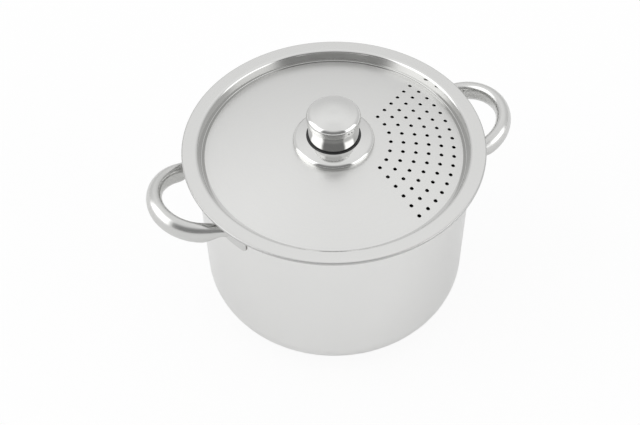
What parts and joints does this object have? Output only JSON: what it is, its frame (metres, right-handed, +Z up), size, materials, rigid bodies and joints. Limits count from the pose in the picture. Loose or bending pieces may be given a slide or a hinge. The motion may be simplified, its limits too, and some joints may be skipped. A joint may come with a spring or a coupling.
{
  "type": "pasta pot with straining lid",
  "caption": "Tall stainless steel pot with loop handles, an encapsulated base and a recessed straining lid with a round knob.",
  "frame": {"origin": "centre of the underside of the base, on the surface the pot stands on", "axes": "+X from the left handle to the right handle, +Y away from the front, +Z up"},
  "size_m": [0.3094, 0.242, 0.2012],
  "materials": {
    "body_steel": "fine satin, turned round the pot",
    "lid_steel": "polished",
    "handle_steel": "polished",
    "knob_steel": "mirror polished",
    "fastener_steel": "plain",
    "base_aluminium": "plain",
    "black_plastic": "matte"
  },
  "bodies": {
    "pot": {"pot_body": "body_steel", "base_disc": "base_aluminium", "base_cap": "body_steel", "left_handle": "handle_steel", "right_handle": "handle_steel", "left_front_plate": "handle_steel", "left_rear_plate": "handle_steel", "right_front_plate": "handle_steel", "right_rear_plate": "handle_steel"},
    "lid_pivot": {"knob_screw": "fastener_steel"},
    "lid": {"lid": "lid_steel", "rosette": "knob_steel", "insulating_ring": "black_plastic", "knob_skirt": "knob_steel", "knob_cap": "knob_steel", "knob_bush": "fastener_steel", "flat_washer": "fastener_steel", "spring_washer": "fastener_steel"}
  },
  "joints": [
    {"name": "lid_lift", "type": "slide", "parent": "pot", "child": "lid_pivot", "axis": [0, 0, 1], "range_m": [0, 0.12]},
    {"name": "lid_turn", "type": "hinge", "parent": "lid_pivot", "child": "lid", "pos_m": [0, 0, 0.165], "axis": [0, 0, 1], "continuous": true}
  ]
}
